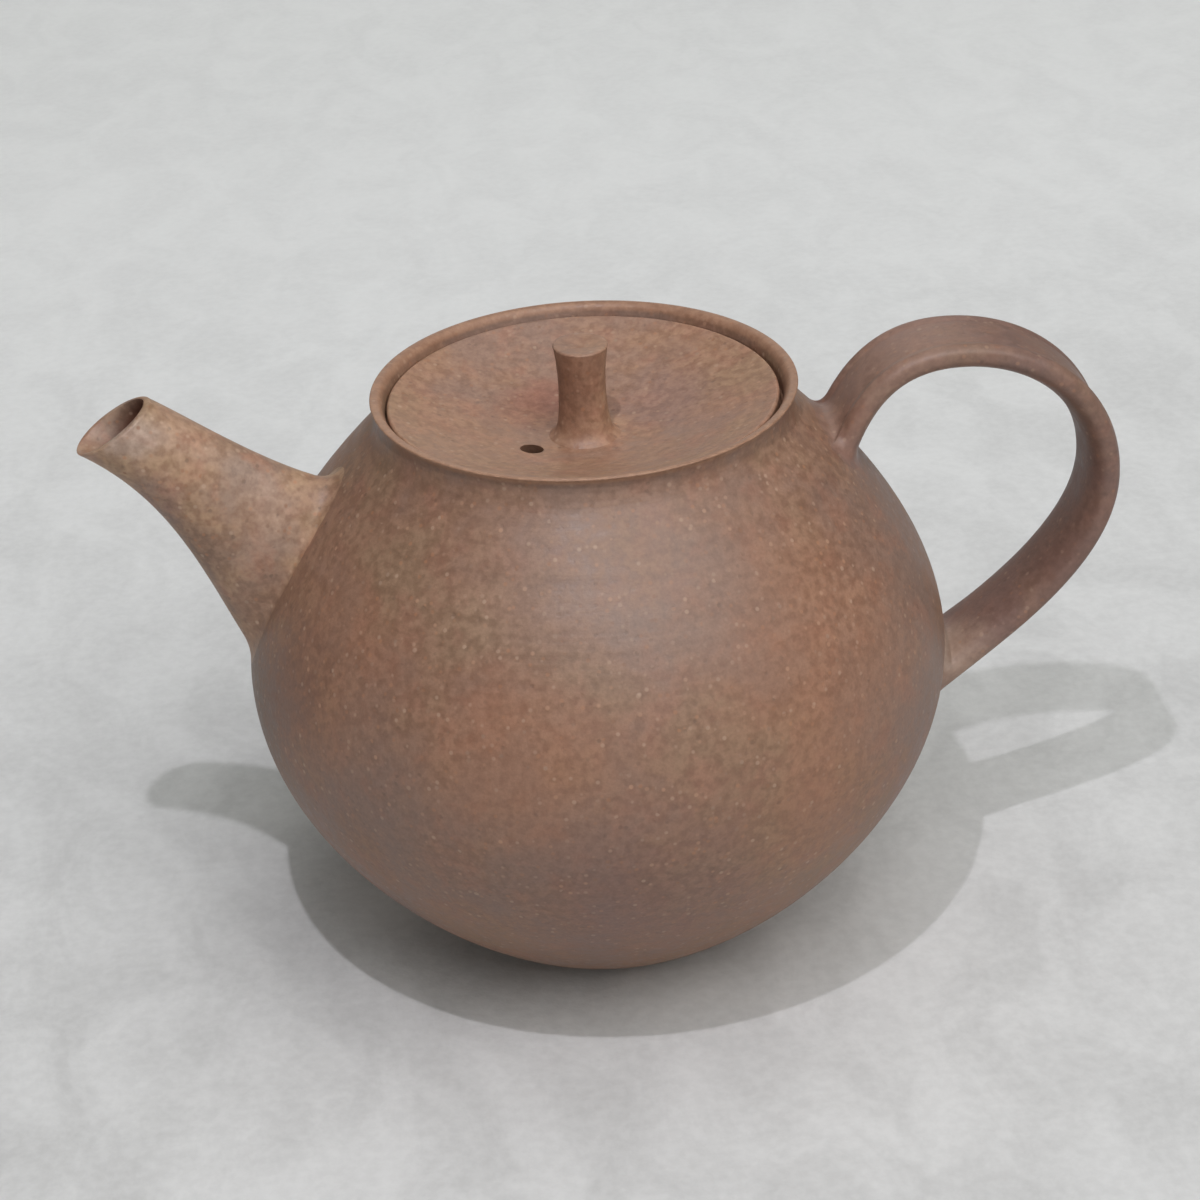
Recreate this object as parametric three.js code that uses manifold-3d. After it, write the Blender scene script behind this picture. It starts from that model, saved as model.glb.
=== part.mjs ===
import * as THREE from 'three';
import { mergeVertices } from 'three/addons/utils/BufferGeometryUtils.js';
import Module from 'manifold-3d';

// Back handle teapot of unglazed stoneware, in millimetres.
// +Z is up, the spout points along -X and the handle along +X.
// The origin is the middle of the flat base.

// Vessel
const BASE_R = 22;
const BELLY_R = 60;
const BELLY_Z = 53;
const SHOULDER_R = 36.1;
const SHOULDER_Z = 96.2;
const LIP_R = 36.1;
const RIM_Z = 102.3;
const MOUTH_R = 33.4;
const WALL = 4;
const FLOOR = 5;

// How the wall leaves the base, swells into the belly and closes to the shoulder
const BASE_PULL = [16.4, 9.9];
const BELLY_PULL_DOWN = 22.8;
const BELLY_PULL_UP = 18.9;
const SHOULDER_PULL = [7.4, 7.6];
const NECK_HOLLOW = 1.2;

// Gallery inside the mouth, which carries the lid
const SEAT_DEPTH = 5;
const GALLERY_R = 29.8;
const GALLERY_T = 3.5;

// Lid
const LID_GAP = 0.8;
const LID_EDGE_T = 3;
const LID_EDGE_ROUND = 0.8;
const DISH_DEPTH = 7;
const DISH_POWER = 1.4;
const LID_T = 3.4;
const LID_STEP = 3;
const FLANGE_GAP = 0.7;
const FLANGE_T = 3.5;
const FLANGE_H = 6;
const FLANGE_EASE = 0.9;
const STEAM_HOLE_R = 2.05;
const STEAM_HOLE_OUT = 10.55;
const STEAM_HOLE_TURN = 206;

// Knob
const KNOB_FOOT_R = 7;
const KNOB_FOOT_H = 1.9;
const KNOB_FOOT_TAPER = 0.9;
const KNOB_FLAT = 0.3;
const KNOB_WAIST_R = 4.1;
const KNOB_WAIST_UP = 8.8;
const KNOB_TOP_R = 4.75;
const KNOB_H = 16.4;
const KNOB_DISH = 0.5;
const KNOB_DISH_R = 2.4;

// Spout
const SPOUT_ROOT_TOP_Z = 89.3;
const SPOUT_ROOT_LOW_Z = 59.9;
const SPOUT_ROOT_HALF_W = 7.5;
const SPOUT_SINK = 9;
const SPOUT_REACH = 16.88;
const SPOUT_RISE = 1.06;
const SPOUT_MOUTH_R = 7.7;
const SPOUT_MOUTH_HALF_W = 7;
const SPOUT_MOUTH_TILT = 62.8;
const SPOUT_AXIS_TILT = 34;
const SPOUT_TOP_ROOT_PULL = [-9.6, 3.2];
const SPOUT_LOW_ROOT_PULL = [-6.3, 14.9];
const SPOUT_TOP_MOUTH_PULL = 7.3;
const SPOUT_LOW_MOUTH_PULL = 17.2;
const SPOUT_ROOT_WALL = 3.2;
const SPOUT_LIP_WALL = 1.8;

// Port through the wall and the pierced dome behind it
const PORT_HALF_H = 8.6;
const PORT_HALF_W = 4.2;
const STRAINER_R = 12.5;
const STRAINER_T = 2.2;
const STRAINER_HOLE_R = 1.05;
const STRAINER_PITCH = 18;
const STRAINER_ROWS = 3;

// Strap handle
const STRAP_W = 15.5;
const STRAP_T = 4.6;
const STRAP_DISH = 0.4;
const STRAP_SQUARENESS = 0.5;
const STRAP_ROOT_W = 17.5;
const STRAP_ROOT_T = 4.5;
const STRAP_FLARE = 16;
const STRAP_TOP_ROOT_Z = 89.2;
const STRAP_LOW_ROOT_Z = 41.9;
const STRAP_SINK = 9;
const STRAP_TOP_RISE = [3.6, 8.5];
const STRAP_CREST_OUT = 19;
const STRAP_CREST_UP = 1.1;
const STRAP_CREST_PULL_IN = 10;
const STRAP_CREST_PULL_OUT = 14.2;
const STRAP_REACH = 28.5;
const STRAP_BACK_UP = 25.4;
const STRAP_BACK_PULL_UP = 15.1;
const STRAP_BACK_PULL_DOWN = 14.6;
const STRAP_LOW_PULL = [14, 9.2];

// Clearance left where one clay piece is luted to another
const JOIN_GAP = 0.3;

// Facets round each turned piece, and steps along each curve
const VESSEL_SIDES = 56;
const LID_SIDES = 40;
const KNOB_SIDES = 20;
const STRAINER_SIDES = 20;
const HOLE_SIDES = 6;
const TUBE_SIDES = 20;
const STRAP_SIDES = 18;
const LOWER_STEPS = 8;
const UPPER_STEPS = 8;
const NECK_STEPS = 4;
const ROUND_STEPS = 4;
const DISH_STEPS = 4;
const STEM_STEPS = 8;
const SPOUT_STEPS = 10;
const STRAP_STEPS = 8;

const wasm = await Module();
wasm.setup();

const radians = THREE.MathUtils.degToRad;
const vec2 = (x, y) => new THREE.Vector2(x, y);
const inPlane = (p) => new THREE.Vector3(p.x, 0, p.y);

// Solids from closed meshes, and back again

function toSolid(geometry) {
  const bare = geometry.clone();
  bare.deleteAttribute('normal');
  bare.deleteAttribute('uv');
  const merged = mergeVertices(bare);
  const index = merged.index.array;
  const kept = [];
  for (let i = 0; i < index.length; i += 3) {
    const [a, b, c] = [index[i], index[i + 1], index[i + 2]];
    if (a !== b && b !== c && c !== a) kept.push(a, b, c);
  }
  return new wasm.Manifold(new wasm.Mesh({
    numProp: 3,
    vertProperties: new Float32Array(merged.attributes.position.array),
    triVerts: new Uint32Array(kept),
  }));
}

function toGeometry(solid) {
  const mesh = solid.getMesh();
  const geometry = new THREE.BufferGeometry();
  geometry.setAttribute('position', new THREE.BufferAttribute(mesh.vertProperties, 3));
  geometry.setIndex(new THREE.BufferAttribute(mesh.triVerts, 1));
  geometry.computeVertexNormals();
  return geometry;
}

// A turned solid about Z. Its profile runs anticlockwise, in (radius, height).
function turned(profile, sides) {
  return toSolid(new THREE.LatheGeometry(profile, sides).rotateX(Math.PI / 2));
}

// A skin over a row of rings with equal point counts. The row either joins back on itself,
// as the wall of an open tube does, or is closed by a flat cap at each end.
function lofted(rings, joinsBack) {
  const sides = rings[0].length;
  const points = rings.flat();
  const index = [];
  const lastRow = joinsBack ? rings.length : rings.length - 1;
  for (let row = 0; row < lastRow; row += 1) {
    const here = row * sides;
    const next = ((row + 1) % rings.length) * sides;
    for (let i = 0; i < sides; i += 1) {
      const j = (i + 1) % sides;
      index.push(here + i, here + j, next + i, here + j, next + j, next + i);
    }
  }
  if (!joinsBack) {
    const end = (rings.length - 1) * sides;
    for (let i = 1; i < sides - 1; i += 1) {
      index.push(0, i + 1, i, end, end + i, end + i + 1);
    }
  }
  const geometry = new THREE.BufferGeometry().setFromPoints(points);
  geometry.setIndex(index);
  return toSolid(geometry);
}

// Outline of the vessel

const lowerCurve = new THREE.CubicBezierCurve(
  vec2(BASE_R, 0),
  vec2(BASE_R + BASE_PULL[0], BASE_PULL[1]),
  vec2(BELLY_R, BELLY_Z - BELLY_PULL_DOWN),
  vec2(BELLY_R, BELLY_Z),
);
const upperCurve = new THREE.CubicBezierCurve(
  vec2(BELLY_R, BELLY_Z),
  vec2(BELLY_R, BELLY_Z + BELLY_PULL_UP),
  vec2(SHOULDER_R + SHOULDER_PULL[0], SHOULDER_Z - SHOULDER_PULL[1]),
  vec2(SHOULDER_R, SHOULDER_Z),
);

// The wall's face moved in square to itself by an inset, from the base to the shoulder
function wallFace(inset) {
  const face = [];
  const take = (curve, steps, first) => {
    for (let i = first; i <= steps; i += 1) {
      const point = curve.getPoint(i / steps);
      const along = curve.getTangent(i / steps);
      face.push(vec2(point.x - along.y * inset, point.y + along.x * inset));
    }
  };
  take(lowerCurve, LOWER_STEPS, 0);
  take(upperCurve, UPPER_STEPS, 1);
  return face;
}

// The point of the outer wall at a height, with the way out square to the wall there
function onWall(height) {
  const face = wallFace(0);
  const above = face.findIndex((point) => point.y > height);
  const [a, b] = [face[above - 1], face[above]];
  const point = a.clone().lerp(b, (height - a.y) / (b.y - a.y));
  const along = b.clone().sub(a).normalize();
  return { point, out: vec2(along.y, -along.x) };
}

// The rounded lip, from its outside over the top to its inside
const lipRound = (LIP_R - MOUTH_R) / 2;
function lipFace() {
  const neck = new THREE.QuadraticBezierCurve(
    vec2(SHOULDER_R, SHOULDER_Z),
    vec2(LIP_R - NECK_HOLLOW, SHOULDER_Z + NECK_HOLLOW),
    vec2(LIP_R, RIM_Z - lipRound),
  );
  const face = neck.getPoints(NECK_STEPS).slice(1);
  for (let i = 1; i <= ROUND_STEPS; i += 1) {
    const turn = (Math.PI * i) / ROUND_STEPS;
    const out = MOUTH_R + lipRound + lipRound * Math.cos(turn);
    face.push(vec2(out, RIM_Z - lipRound + lipRound * Math.sin(turn)));
  }
  return face;
}

const seatZ = RIM_Z - SEAT_DEPTH;
const galleryZ = seatZ - GALLERY_T;

// The inside of the wall, from the floor up to where the gallery springs from it
function innerFace(inset, floorZ) {
  return wallFace(inset)
    .filter((point) => point.y < galleryZ - GALLERY_T)
    .map((point) => vec2(point.x, Math.max(point.y, floorZ)));
}

// The vessel's full form, without its hollow, grown by the joining gap
function fullForm() {
  const face = wallFace(-JOIN_GAP);
  return turned([
    vec2(0, face[0].y),
    ...face,
    vec2(LIP_R + JOIN_GAP, RIM_Z),
    vec2(0, RIM_Z),
  ], VESSEL_SIDES);
}

// The vessel's hollow, drawn in by the joining gap
function hollowForm() {
  const floorZ = FLOOR + JOIN_GAP;
  return turned([
    vec2(0, floorZ),
    ...innerFace(WALL + JOIN_GAP, floorZ),
    vec2(0, galleryZ - GALLERY_T),
  ], VESSEL_SIDES);
}

// Port and strainer lie on one axis, square to the wall midway up the spout's root

const portOnWall = onWall((SPOUT_ROOT_TOP_Z + SPOUT_ROOT_LOW_Z) / 2);
const portOut = vec2(-portOnWall.out.x, portOnWall.out.y);
const portOuter = vec2(-portOnWall.point.x, portOnWall.point.y);
const portInner = portOuter.clone().addScaledVector(portOut, -WALL);

// Turns a shape made along +Z so that it lies along the port's axis
function alongPort(solid) {
  const tilt = new THREE.Matrix4().makeRotationY(Math.atan2(portOut.x, portOut.y));
  tilt.setPosition(portInner.x, 0, portInner.y);
  return solid.transform(tilt.elements);
}

// An oval cutter, long enough to pass both faces of the wall
function portCut() {
  const reach = 2 * PORT_HALF_W + WALL;
  const shape = new THREE.CylinderGeometry(1, 1, reach, TUBE_SIDES).rotateX(Math.PI / 2);
  shape.scale(PORT_HALF_H, PORT_HALF_W, 1).translate(0, 0, WALL / 2);
  return alongPort(toSolid(shape));
}

// The thrown vessel with its port cut
function potBody() {
  const profile = [
    vec2(0, 0),
    ...wallFace(0),
    ...lipFace(),
    vec2(MOUTH_R, seatZ),
    vec2(GALLERY_R, seatZ),
    vec2(GALLERY_R, galleryZ),
    ...innerFace(WALL, FLOOR).reverse(),
    vec2(0, FLOOR),
  ];
  return turned(profile, VESSEL_SIDES).subtract(portCut());
}

// Part of a hollow ball behind the port, pierced by one hole and rings of holes round it
function spoutStrainer() {
  const shell = (radius) => toSolid(
    new THREE.SphereGeometry(radius, STRAINER_SIDES, STRAINER_SIDES / 2),
  );
  let dome = shell(STRAINER_R).subtract(shell(STRAINER_R - STRAINER_T));
  for (let row = 0; row <= STRAINER_ROWS; row += 1) {
    const lean = radians(STRAINER_PITCH * row);
    const fit = (2 * Math.PI * Math.sin(lean)) / radians(STRAINER_PITCH);
    const count = Math.max(1, Math.round(fit));
    for (let i = 0; i < count; i += 1) {
      const drill = new THREE.CylinderGeometry(
        STRAINER_HOLE_R,
        STRAINER_HOLE_R,
        STRAINER_R,
        HOLE_SIDES,
      );
      drill.rotateX(Math.PI / 2).translate(0, 0, -STRAINER_R);
      drill.rotateY(lean).rotateZ((2 * Math.PI * i) / count);
      dome = dome.subtract(toSolid(drill));
    }
  }
  return alongPort(dome).intersect(hollowForm());
}

// Spout

// Its upper and lower outlines in the XZ plane, from the wall to the mouth
const mouthMiddle = vec2(-(BELLY_R + SPOUT_REACH), RIM_Z + SPOUT_RISE);
const mouthOut = vec2(-Math.cos(radians(SPOUT_MOUTH_TILT)), Math.sin(radians(SPOUT_MOUTH_TILT)));
const mouthUp = vec2(mouthOut.y, -mouthOut.x);
const spoutBack = vec2(Math.cos(radians(SPOUT_AXIS_TILT)), -Math.sin(radians(SPOUT_AXIS_TILT)));

function spoutOutline(rootZ, rootPull, side, mouthPull) {
  const root = vec2(-onWall(rootZ).point.x, rootZ);
  const mouth = mouthMiddle.clone().addScaledVector(mouthUp, side * SPOUT_MOUTH_R);
  return new THREE.CubicBezierCurve(
    root,
    root.clone().add(vec2(...rootPull)),
    mouth.clone().addScaledVector(spoutBack, mouthPull),
    mouth,
  );
}

const spoutTop = spoutOutline(SPOUT_ROOT_TOP_Z, SPOUT_TOP_ROOT_PULL, 1, SPOUT_TOP_MOUTH_PULL);
const spoutLow = spoutOutline(SPOUT_ROOT_LOW_Z, SPOUT_LOW_ROOT_PULL, -1, SPOUT_LOW_MOUTH_PULL);

// One oval ring of the spout: how far along, how far inside the face, and a shift
function spoutRing(along, inset, shift) {
  const top = spoutTop.getPoint(along);
  const low = spoutLow.getPoint(along);
  const middle = top.clone().add(low).multiplyScalar(0.5).add(shift);
  const up = top.clone().sub(low).multiplyScalar(0.5);
  up.setLength(up.length() - inset);
  const halfW = THREE.MathUtils.lerp(SPOUT_ROOT_HALF_W, SPOUT_MOUTH_HALF_W, along) - inset;
  const ring = [];
  for (let i = 0; i < TUBE_SIDES; i += 1) {
    const turn = (2 * Math.PI * i) / TUBE_SIDES;
    const point = inPlane(middle).addScaledVector(inPlane(up), Math.cos(turn));
    point.y = halfW * Math.sin(turn);
    ring.push(point);
  }
  return ring;
}

// An open tube: out along its face, over the lip and back down its bore
function spout() {
  const still = vec2(0, 0);
  const sink = portOut.clone().multiplyScalar(-SPOUT_SINK);
  const wallAt = (along) => THREE.MathUtils.lerp(SPOUT_ROOT_WALL, SPOUT_LIP_WALL, along);
  const rings = [spoutRing(0, 0, sink)];
  for (let i = 0; i <= SPOUT_STEPS; i += 1) rings.push(spoutRing(i / SPOUT_STEPS, 0, still));
  for (let i = 1; i < ROUND_STEPS; i += 1) {
    const turn = (Math.PI * i) / ROUND_STEPS;
    const inset = (SPOUT_LIP_WALL / 2) * (1 - Math.cos(turn));
    const rise = mouthOut.clone().multiplyScalar((SPOUT_LIP_WALL / 2) * Math.sin(turn));
    rings.push(spoutRing(1, inset, rise));
  }
  for (let i = SPOUT_STEPS; i >= 0; i -= 1) {
    const along = i / SPOUT_STEPS;
    rings.push(spoutRing(along, wallAt(along), still));
  }
  rings.push(spoutRing(0, SPOUT_ROOT_WALL, sink));
  return lofted(rings, true).subtract(fullForm());
}

// Strap handle

// Its middle line in the XZ plane: up from the shoulder, over the crest, down the back
// and in again to the lower wall
function strapLine() {
  const topRoot = vec2(onWall(STRAP_TOP_ROOT_Z).point.x, STRAP_TOP_ROOT_Z);
  const lowRoot = vec2(onWall(STRAP_LOW_ROOT_Z).point.x, STRAP_LOW_ROOT_Z);
  const crest = vec2(topRoot.x + STRAP_CREST_OUT, RIM_Z + STRAP_CREST_UP);
  const back = vec2(BELLY_R + STRAP_REACH, BELLY_Z + STRAP_BACK_UP);
  const topRise = vec2(...STRAP_TOP_RISE);
  const lowRise = vec2(...STRAP_LOW_PULL);
  const topEnd = topRoot.clone().addScaledVector(topRise.clone().normalize(), -STRAP_SINK);
  const lowEnd = lowRoot.clone().addScaledVector(lowRise.clone().normalize(), -STRAP_SINK);
  return [
    new THREE.LineCurve(topEnd, topRoot),
    new THREE.CubicBezierCurve(
      topRoot,
      topRoot.clone().add(topRise),
      crest.clone().add(vec2(-STRAP_CREST_PULL_IN, 0)),
      crest,
    ),
    new THREE.CubicBezierCurve(
      crest,
      crest.clone().add(vec2(STRAP_CREST_PULL_OUT, 0)),
      back.clone().add(vec2(0, STRAP_BACK_PULL_UP)),
      back,
    ),
    new THREE.CubicBezierCurve(
      back,
      back.clone().add(vec2(0, -STRAP_BACK_PULL_DOWN)),
      lowRoot.clone().add(lowRise),
      lowRoot,
    ),
    new THREE.LineCurve(lowRoot, lowEnd),
  ];
}

// One ring of the strap: a soft cornered bar, dished along its outer face
function strapRing(point, along, flare) {
  const out = inPlane(vec2(-along.y, along.x));
  const halfW = THREE.MathUtils.lerp(STRAP_W, STRAP_ROOT_W, flare) / 2;
  const halfT = THREE.MathUtils.lerp(STRAP_T, STRAP_ROOT_T, flare) / 2;
  const soften = (value) => Math.sign(value) * Math.abs(value) ** STRAP_SQUARENESS;
  const ring = [];
  for (let i = 0; i < STRAP_SIDES; i += 1) {
    const turn = (2 * Math.PI * (i + 0.5)) / STRAP_SIDES;
    const across = soften(Math.cos(turn));
    const dish = Math.sin(turn) > 0 ? STRAP_DISH * (1 - across ** 2) : 0;
    const corner = inPlane(point).addScaledVector(out, halfT * soften(Math.sin(turn)) - dish);
    corner.y = halfW * across;
    ring.push(corner);
  }
  return ring;
}

// The strap from root to root, widening where it is luted to the wall
function strapHandle() {
  const stations = [];
  strapLine().forEach((curve) => {
    const steps = curve.isLineCurve ? 1 : STRAP_STEPS;
    for (let i = stations.length ? 1 : 0; i <= steps; i += 1) {
      stations.push({ point: curve.getPoint(i / steps), along: curve.getTangent(i / steps) });
    }
  });
  let travelled = 0;
  stations.forEach((station, i) => {
    if (i) travelled += station.point.distanceTo(stations[i - 1].point);
    station.at = travelled;
  });
  const rings = stations.map(({ point, along, at }) => {
    const fromWall = Math.min(at, travelled - at) - STRAP_SINK;
    const flare = THREE.MathUtils.clamp(1 - fromWall / STRAP_FLARE, 0, 1) ** 2;
    return strapRing(point, along, flare);
  });
  return lofted(rings, false).subtract(fullForm());
}

// Lid

const lidR = MOUTH_R - LID_GAP;
const lidTopZ = seatZ + LID_EDGE_T;
const dishZ = lidTopZ - DISH_DEPTH;
const underZ = dishZ - LID_T;
const stepZ = seatZ - LID_STEP;
const flangeR = GALLERY_R - FLANGE_GAP;
const flangeInnerR = flangeR - FLANGE_T;
const flatR = KNOB_FOOT_R + KNOB_FLAT;

// A dish's curve from its flat middle out to an edge
function dished(fromR, fromZ, toR, toZ) {
  const curve = [];
  for (let i = 0; i <= DISH_STEPS; i += 1) {
    const share = i / DISH_STEPS;
    const height = fromZ + (toZ - fromZ) * share ** DISH_POWER;
    curve.push(vec2(THREE.MathUtils.lerp(fromR, toR, share), height));
  }
  return curve;
}

// The dished plate, which rests by its edge on the gallery, with the steam hole through it
function lidPlate() {
  const edgeR = lidR - LID_EDGE_ROUND;
  const edge = [];
  for (let i = 0; i <= ROUND_STEPS / 2; i += 1) {
    const turn = (Math.PI * i) / ROUND_STEPS;
    edge.push(vec2(
      edgeR + LID_EDGE_ROUND * Math.cos(turn),
      lidTopZ - LID_EDGE_ROUND + LID_EDGE_ROUND * Math.sin(turn),
    ));
  }
  const profile = [
    vec2(0, underZ),
    ...dished(flatR, underZ, flangeInnerR - FLANGE_GAP, stepZ),
    vec2(flangeR, stepZ),
    vec2(flangeR, seatZ),
    vec2(lidR, seatZ),
    ...edge,
    ...dished(flatR, dishZ, edgeR, lidTopZ).reverse().slice(1),
    vec2(0, dishZ),
  ];
  const reach = 2 * (LID_T + DISH_DEPTH);
  const drill = new THREE.CylinderGeometry(STEAM_HOLE_R, STEAM_HOLE_R, reach, TUBE_SIDES);
  drill.rotateX(Math.PI / 2).translate(STEAM_HOLE_OUT, 0, dishZ);
  drill.rotateZ(radians(STEAM_HOLE_TURN));
  return turned(profile, LID_SIDES).subtract(toSolid(drill));
}

// The ring beneath the plate, which keeps the lid from sliding out of the mouth
function lidFlange() {
  const lowZ = stepZ - FLANGE_H;
  return turned([
    vec2(flangeInnerR, stepZ),
    vec2(flangeInnerR, lowZ + FLANGE_EASE),
    vec2(flangeInnerR + FLANGE_EASE, lowZ),
    vec2(flangeR - FLANGE_EASE, lowZ),
    vec2(flangeR, lowZ + FLANGE_EASE),
    vec2(flangeR, stepZ),
    vec2(flangeInnerR, stepZ),
  ], LID_SIDES);
}

// A turned stem on a low foot, drawn in at its waist and dished on top
function lidKnob() {
  const topZ = dishZ + KNOB_H;
  const footZ = dishZ + KNOB_FOOT_H;
  const waistZ = dishZ + KNOB_WAIST_UP;
  const swell = (KNOB_TOP_R - KNOB_WAIST_R) / (topZ - waistZ) ** 2;
  const stem = [];
  for (let i = 0; i <= STEM_STEPS; i += 1) {
    const height = THREE.MathUtils.lerp(footZ, topZ, i / STEM_STEPS);
    stem.push(vec2(KNOB_WAIST_R + swell * (height - waistZ) ** 2, height));
  }
  return turned([
    vec2(0, dishZ),
    vec2(KNOB_FOOT_R, dishZ),
    vec2(KNOB_FOOT_R - KNOB_FOOT_TAPER, dishZ + KNOB_FOOT_H / 2),
    ...stem,
    vec2(KNOB_DISH_R, topZ - KNOB_DISH),
    vec2(0, topZ - KNOB_DISH),
  ], KNOB_SIDES);
}

// The teapot

const bodyClay = { color: 0x83644f, roughness: 0.85, metalness: 0 };
const lidClay = { color: 0xa3826e, roughness: 0.88, metalness: 0 };
const innerClay = { color: 0x75594a, roughness: 0.9, metalness: 0 };

function piece(name, solid, clay) {
  const mesh = new THREE.Mesh(toGeometry(solid), new THREE.MeshStandardMaterial(clay));
  mesh.name = name;
  return mesh;
}

const pot = new THREE.Group();
pot.add(piece('pot_body', potBody(), bodyClay));
pot.add(piece('spout', spout(), bodyClay));
pot.add(piece('spout_strainer', spoutStrainer(), innerClay));
pot.add(piece('strap_handle', strapHandle(), bodyClay));

const lid = new THREE.Group();
lid.add(piece('lid_plate', lidPlate(), lidClay));
lid.add(piece('lid_flange', lidFlange(), lidClay));
lid.add(piece('lid_knob', lidKnob(), lidClay));

const teapot = new THREE.Group();
teapot.add(pot, lid);

export default teapot;
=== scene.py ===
import math

import bpy
import numpy as np
from mathutils import Matrix, Vector


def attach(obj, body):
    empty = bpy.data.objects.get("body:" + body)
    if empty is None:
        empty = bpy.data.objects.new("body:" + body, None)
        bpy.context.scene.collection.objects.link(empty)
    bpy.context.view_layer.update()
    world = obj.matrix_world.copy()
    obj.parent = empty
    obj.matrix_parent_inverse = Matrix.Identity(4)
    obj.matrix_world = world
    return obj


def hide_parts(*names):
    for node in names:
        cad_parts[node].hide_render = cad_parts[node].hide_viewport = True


# Back handle teapot of unglazed stoneware, on pale paper.
# Lengths are in millimetres unless a name ends in _M or _m, and meshes are written in metres.
# A pull is how far a control point lies from its end of the curve, as (sideways, up).

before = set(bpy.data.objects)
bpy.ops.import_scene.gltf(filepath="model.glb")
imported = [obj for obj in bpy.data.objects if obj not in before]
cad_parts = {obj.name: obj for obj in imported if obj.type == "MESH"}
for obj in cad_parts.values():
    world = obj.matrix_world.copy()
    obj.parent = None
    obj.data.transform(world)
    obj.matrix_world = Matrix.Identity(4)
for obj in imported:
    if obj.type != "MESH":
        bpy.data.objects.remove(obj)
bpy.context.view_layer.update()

MM = 0.001
ON_AXIS = 1e-6
CRISP_DEG = 42

# Vessel
OUTLINE_STEPS = (90, 110)
BASE_R = 22.0
BASE_EASE = 1.2
BASE_ARC_DEG = (-90, -35)
BASE_STEPS = 6
BASE_RINGS = (0.0, 8.0, 15.0, 19.3)
BASE_GAP = 0.6
BELLY_R = 60.0
BELLY_Z = 53.0
SHOULDER_R = 36.1
SHOULDER_Z = 96.2
BASE_PULL = (16.4, 9.9)
BELLY_PULL_DOWN = 22.8
BELLY_PULL_UP = 18.9
SHOULDER_PULL = (7.4, 7.6)
NECK_PULL = (1.9, 2.185)
NECK_STEPS = 26
LIP_PULL = (1.14, 0.95)
LIP_R = 35.5
LIP_ROUND = 0.22
LIP_ARC_DEG = (-20, 90)
LIP_STEPS = 12
RIM_Z = 102.3
RIM_TOP_W = 1.5
RIM_CROWN = 0.04
RIM_FALL = (0.35, 0.25)
RIM_STEPS = 20
MOUTH_R = 33.1
MOUTH_PULL = (0.25, 0.35)
MOUTH_DROP = 0.5
SEAT_Z = RIM_Z - 5.0
GALLERY_R = 29.8
GALLERY_T = 3.5
GALLERY_EASE = 0.5
GALLERY_FOOT_UP = 0.6
GALLERY_FOOT = (0.8, 0.3)
WALL = 4.0
FLOOR = 5.0
FLOOR_CLEAR = 0.8
FLOOR_CORNER = 1.5
FLOOR_RINGS = (10.0, 0.0)
BODY_SIDES = 256

# Marks of throwing: depths, turns in radians and the heights between which they come and go
OUTER_MARGIN = 1.5
RIPPLE = 0.02
RIPPLE_PITCH = 3.1
RIPPLE_WANDER = 1.3
RIPPLE_WANDER_H = 9.0
RIPPLE_STARTS = (8.0, 22.0)
RIPPLE_GROWS = (60.0, 85.0)
RIPPLE_ENDS = (SHOULDER_Z + 1.0, SHOULDER_Z - 3.0)
RIPPLE_LEAST = 0.35
SWAY = 0.16
SWAY_TURN = 0.7
SWAY_GROWS = (0.0, 30.0)
RIM_OVAL = 0.25
RIM_OVAL_GROWS = (SHOULDER_Z, SHOULDER_Z + 4.0)

# Smoothed clay where a piece is luted on
LUTE_STEPS = 70
LUTE_DIP = 0.12
LUTE_SINK = 0.6

# Spout
SPOUT_ROOT_TOP_Z = 89.3
SPOUT_ROOT_LOW_Z = 59.9
SPOUT_ROOT_HALF_W = 7.5
SPOUT_MOUTH = (-77.15, 103.3)
SPOUT_MOUTH_R = 7.45
SPOUT_MOUTH_HALF_W = 6.45
SPOUT_MOUTH_TILT = math.radians(61)
SPOUT_AXIS_TILT = math.radians(34)
SPOUT_TOP_PULLS = ((-9.6, 3.2), 7.3)
SPOUT_LOW_PULLS = ((-6.3, 14.9), 17.2)
SPOUT_ROOT_WALL = 3.2
SPOUT_LIP_WALL = 1.8
SPOUT_LIP_FULLNESS = 0.42
SPOUT_OPENING = (-77.6, 103.45)
SPOUT_OPENING_R = 6.75
SPOUT_OPENING_HALF_W = 5.2
SPOUT_OPENING_TILT = math.radians(32.7)
SPOUT_SINK = 5.0
SPOUT_JOIN = 1.3
SPOUT_JOIN_GAIN = 1.7
SPOUT_STEPS = 90
SPOUT_SINK_STEPS = 8
SPOUT_JOIN_STEPS = 14
SPOUT_LIP_STEPS = 14
SPOUT_THROAT_STEPS = 24
SPOUT_THROAT_EASE = 0.2
SPOUT_SIDES = 128

# Port and strainer
PORT_HALF_H = 8.6
PORT_HALF_W = 4.2
PORT_PAST = 3.0
PORT_SIDES = 48
STRAINER_R = 12.5
STRAINER_T = 2.2
STRAINER_ARC_DEG = (180, 84)
STRAINER_STEPS = 40
STRAINER_SIDES = 96
STRAINER_HOLE_R = 1.05
STRAINER_PITCH = math.radians(18)
STRAINER_ROWS = 3
STRAINER_PIN = (-STRAINER_R * 1.3, -5.0)
STRAINER_PIN_SIDES = 20

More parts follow.
